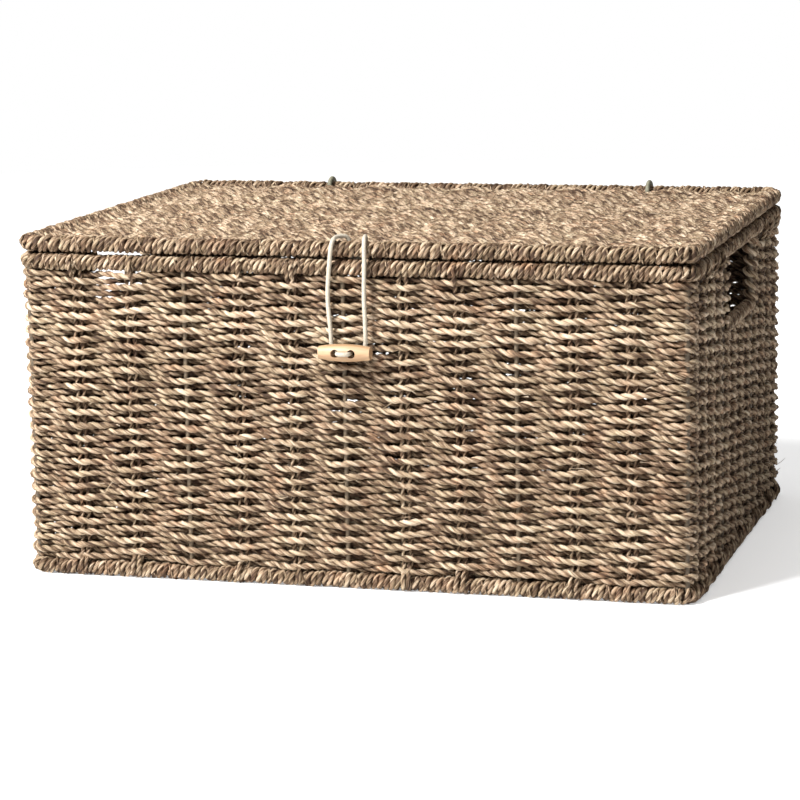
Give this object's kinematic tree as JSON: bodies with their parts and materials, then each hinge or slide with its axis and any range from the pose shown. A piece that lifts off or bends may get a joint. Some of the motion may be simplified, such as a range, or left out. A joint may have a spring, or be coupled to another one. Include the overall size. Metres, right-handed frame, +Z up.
{
  "type": "lidded wicker storage basket",
  "caption": "Rectangular woven seagrass basket on a wire frame, with a hinged lid, finger openings in both ends and an elastic loop and toggle closure.",
  "frame": {"origin": "the middle of the base, on the surface that the basket stands on", "axes": "+X along the long side, to the right as seen from the front; +Y from the front, where the toggle is, to the hinged back; +Z up"},
  "size_m": [0.4, 0.33, 0.2033],
  "materials": {
    "seagrass_weave": "matt twisted plant fibre",
    "seagrass_border": "matt twisted plant fibre, closely wound",
    "seagrass_stakes": "matt twisted plant fibre",
    "frame_steel": "plain drawn wire",
    "coated_wire": "olive-grey coating, semi-matt",
    "hinge_ring": "grey-green coated cord, semi-matt",
    "toggle_wood": "pale beech, fine satin",
    "elastic_cord": "rubber core in an off-white braided cover"
  },
  "bodies": {
    "basket": {"back_stakes": "seagrass_stakes", "back_weave": "seagrass_weave", "back_wires": "coated_wire", "base_border_back": "seagrass_border", "base_border_front": "seagrass_border", "base_border_left": "seagrass_border", "base_border_right": "seagrass_border", "base_rod": "frame_steel", "base_stakes": "seagrass_stakes", "base_weave": "seagrass_weave", "base_wires": "coated_wire", "corner_posts": "coated_wire", "front_stakes": "seagrass_stakes", "front_weave": "seagrass_weave", "front_wires": "coated_wire", "left_handle_sill": "seagrass_border", "left_stakes": "seagrass_stakes", "left_weave": "seagrass_weave", "left_wires": "coated_wire", "right_handle_sill": "seagrass_border", "right_stakes": "seagrass_stakes", "right_weave": "seagrass_weave", "right_wires": "coated_wire", "rim_border_back": "seagrass_border", "rim_border_front": "seagrass_border", "rim_border_left": "seagrass_border", "rim_border_right": "seagrass_border", "rim_rod": "frame_steel"},
    "lid": {"hinge_ring_left": "hinge_ring", "hinge_ring_right": "hinge_ring", "lid_border_back": "seagrass_border", "lid_border_front": "seagrass_border", "lid_border_left": "seagrass_border", "lid_border_right": "seagrass_border", "lid_rod": "frame_steel", "lid_stakes": "seagrass_stakes", "lid_weave": "seagrass_weave", "lid_wires": "coated_wire", "closure_knot": "elastic_cord"},
    "closure_loop": {"closure_loop": "elastic_cord"},
    "toggle": {"toggle": "toggle_wood", "toggle_cord": "elastic_cord", "toggle_knot": "elastic_cord"}
  },
  "joints": [
    {"name": "lid_hinge", "type": "hinge", "parent": "basket", "child": "lid", "pos_m": [0, 0.15, 0.1846], "axis": [-1, 0, 0], "range_deg": [0, 100]},
    {"name": "loop_swing", "type": "hinge", "parent": "lid", "child": "closure_loop", "pos_m": [0, -0.15, 0.195], "axis": [-1, 0, 0], "range_deg": [-90, 0], "deforming": ["closure_loop"]},
    {"name": "toggle_turn", "type": "hinge", "parent": "basket", "child": "toggle", "pos_m": [0.0023, -0.1642, 0.1385], "axis": [0, -1, 0], "range_deg": [-90, 90]}
  ],
  "couplings": [
    {"joint": "loop_swing", "follows": "lid_hinge", "ratio": -0.9}
  ]
}
